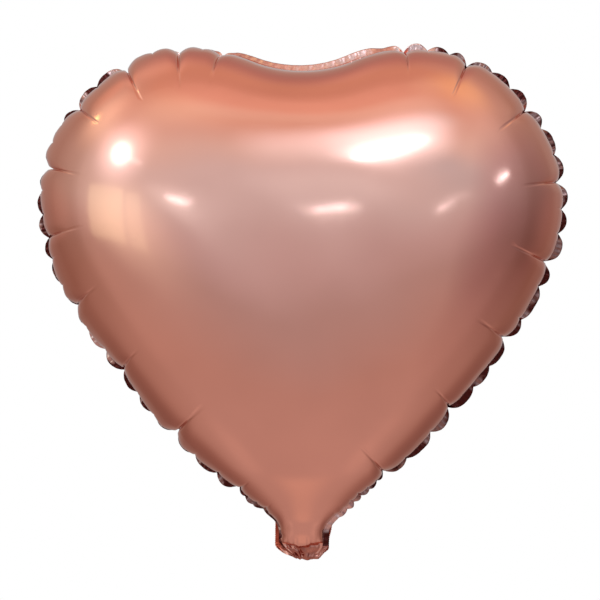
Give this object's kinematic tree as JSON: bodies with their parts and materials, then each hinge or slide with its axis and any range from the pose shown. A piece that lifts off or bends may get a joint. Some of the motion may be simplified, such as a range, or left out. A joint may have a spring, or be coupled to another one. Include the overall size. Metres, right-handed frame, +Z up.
{
  "type": "heart-shaped foil balloon",
  "caption": "Inflated heart-shaped rose gold foil balloon: two panels heat-sealed at a crimped margin, a flat film valve in the neck and a filling tail folded up behind.",
  "frame": {"origin": "under the fold line at the foot of the neck, in the plane of the seal", "axes": "+Z up from the point of the heart to its dip, front panel facing -Y, +X to the viewer's right"},
  "size_m": [0.3642, 0.213, 0.3542],
  "materials": {
    "rose_gold_foil": "satin rose gold lacquer on metallised film",
    "heat_sealed_margin": "glossy, crinkled and finely ribbed by the sealing bar",
    "tail_foil": "glossy creased metallised film",
    "valve_film": "thin milky polyethylene film"
  },
  "bodies": {
    "envelope": {"front_foil_panel": "rose_gold_foil", "back_foil_panel": "rose_gold_foil", "heat_seal_band": "heat_sealed_margin"},
    "tail": {"tail_front_foil": "tail_foil", "tail_back_foil": "tail_foil", "tail_seal_left": "heat_sealed_margin", "tail_seal_right": "heat_sealed_margin"},
    "valve_front": {"valve_front_film": "valve_film"},
    "valve_back": {"valve_back_film": "valve_film"}
  },
  "joints": [
    {"name": "tail_fold", "type": "hinge", "parent": "envelope", "child": "tail", "pos_m": [0, 0, 0.0005], "axis": [-1, 0, 0], "range_deg": [0, 133]},
    {"name": "valve_front_open", "type": "hinge", "parent": "envelope", "child": "valve_front", "pos_m": [0, -0.00035, 0.0055], "axis": [1, 0, 0], "range_deg": [0, 6]},
    {"name": "valve_back_open", "type": "hinge", "parent": "envelope", "child": "valve_back", "pos_m": [0, 0.00035, 0.0055], "axis": [-1, 0, 0], "range_deg": [0, 6]}
  ],
  "couplings": [
    {"joint": "valve_back_open", "follows": "valve_front_open", "ratio": 1}
  ]
}
